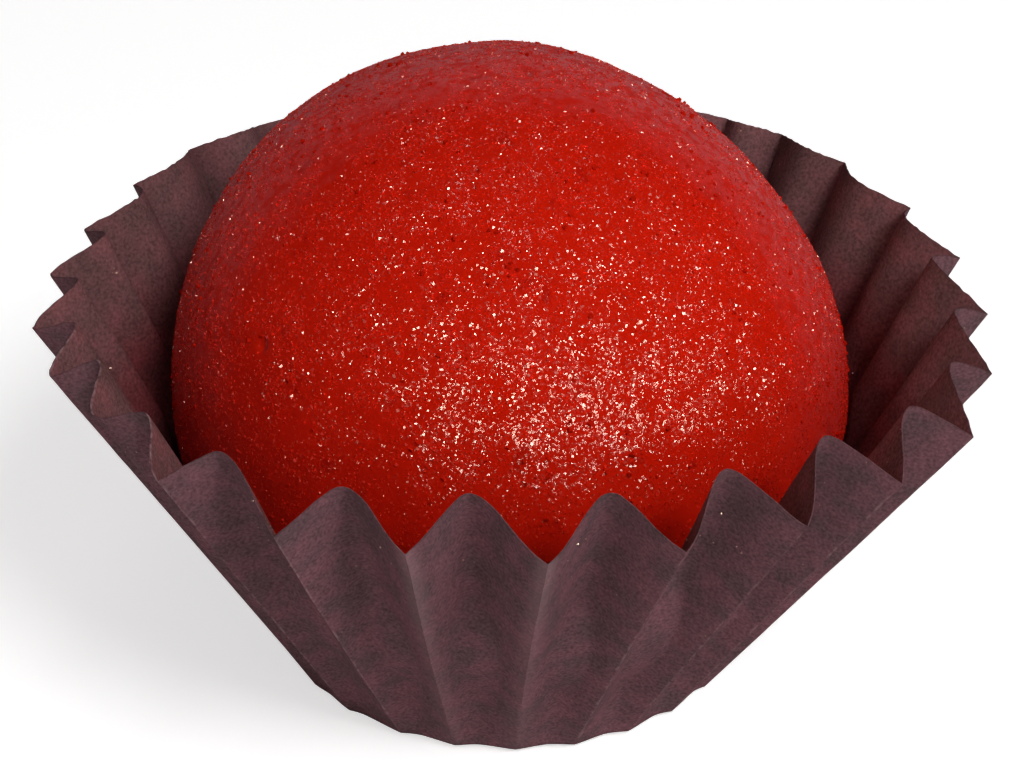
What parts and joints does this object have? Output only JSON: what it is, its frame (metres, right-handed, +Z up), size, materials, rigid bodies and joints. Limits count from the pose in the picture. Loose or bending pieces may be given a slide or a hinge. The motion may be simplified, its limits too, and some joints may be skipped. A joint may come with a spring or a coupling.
{
  "type": "brigadeiro sweet in a pleated paper case",
  "caption": "Round brigadeiro with a red, finely sugar-dusted coat, standing in its own small mauve-brown pleated paper case.",
  "frame": {"origin": "on the ground, at the middle of the paper case's flat floor", "axes": "+Z up out of the case, -Y towards the picture's camera, +X to its right"},
  "size_m": [0.0409, 0.0424, 0.0281],
  "materials": {
    "red_sugared_coat": "soft red sweet with a thin dust of fine sugar",
    "mauve_brown_paper": "thin greaseproof paper, dull, with worn creases"
  },
  "bodies": {
    "root": {"brigadeiro": "red_sugared_coat", "paper_case": "mauve_brown_paper"}
  },
  "joints": []
}
